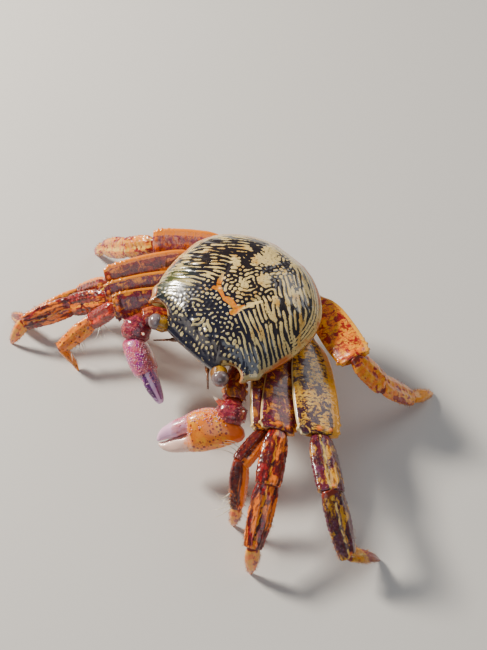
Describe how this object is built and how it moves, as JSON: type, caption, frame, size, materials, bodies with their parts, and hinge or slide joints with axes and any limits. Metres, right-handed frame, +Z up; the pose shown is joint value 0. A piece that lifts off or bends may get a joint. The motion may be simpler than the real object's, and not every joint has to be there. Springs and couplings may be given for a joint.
{
  "type": "shore crab",
  "caption": "Still, life-size shore crab with a domed, banded shell, standing on its jointed walking legs with both claws held in front.",
  "frame": {"origin": "centre of the bottom of the model's box, on the floor the crab stands on", "axes": "+Z up; the crab faces -Y; its left side is +X"},
  "size_m": [0.1494, 0.0852, 0.0406],
  "materials": {
    "carapace_shell": "wet gloss, blue-black with cream lines",
    "underside_shell": "satin cream",
    "leg_shell": "wet gloss, maroon and ochre",
    "leg_tip_shell": "satin orange",
    "claw_shell": "wet gloss, violet-pink",
    "eyestalk_shell": "satin yellow-brown",
    "cornea": "polished lilac-grey"
  },
  "bodies": {
    "root": {"carapace": "carapace_shell", "sternum": "underside_shell", "abdomen": "underside_shell", "eye_stalk_left": "eyestalk_shell", "eye_left": "cornea", "antenna_left": "leg_shell", "maxilliped_left": "underside_shell", "claw_merus_left": "claw_shell", "claw_carpus_left": "claw_shell", "claw_palm_left": "claw_shell", "claw_finger_left": "claw_shell", "leg2_base_left": "underside_shell", "leg2_merus_left": "leg_shell", "leg2_carpus_left": "leg_shell", "leg2_propodus_left": "leg_shell", "leg2_dactyl_left": "leg_tip_shell", "leg3_base_left": "underside_shell", "leg3_merus_left": "leg_shell", "leg3_carpus_left": "leg_shell", "leg3_propodus_left": "leg_shell", "leg3_dactyl_left": "leg_tip_shell", "leg4_base_left": "underside_shell", "leg4_merus_left": "leg_shell", "leg4_carpus_left": "leg_shell", "leg4_propodus_left": "leg_shell", "leg4_dactyl_left": "leg_tip_shell", "leg5_base_left": "underside_shell", "leg5_merus_left": "leg_shell", "leg5_carpus_left": "leg_shell", "leg5_propodus_left": "leg_shell", "leg5_dactyl_left": "leg_tip_shell", "eye_stalk_right": "eyestalk_shell", "eye_right": "cornea", "antenna_right": "leg_shell", "maxilliped_right": "underside_shell", "claw_merus_right": "claw_shell", "claw_carpus_right": "claw_shell", "claw_palm_right": "claw_shell", "claw_finger_right": "claw_shell", "leg2_base_right": "underside_shell", "leg2_merus_right": "leg_shell", "leg2_carpus_right": "leg_shell", "leg2_propodus_right": "leg_shell", "leg2_dactyl_right": "leg_tip_shell", "leg3_base_right": "underside_shell", "leg3_merus_right": "leg_shell", "leg3_carpus_right": "leg_shell", "leg3_propodus_right": "leg_shell", "leg3_dactyl_right": "leg_tip_shell", "leg4_base_right": "underside_shell", "leg4_merus_right": "leg_shell", "leg4_carpus_right": "leg_shell", "leg4_propodus_right": "leg_shell", "leg4_dactyl_right": "leg_tip_shell", "leg5_base_right": "underside_shell", "leg5_merus_right": "leg_shell", "leg5_carpus_right": "leg_shell", "leg5_propodus_right": "leg_shell", "leg5_dactyl_right": "leg_tip_shell"}
  },
  "joints": []
}
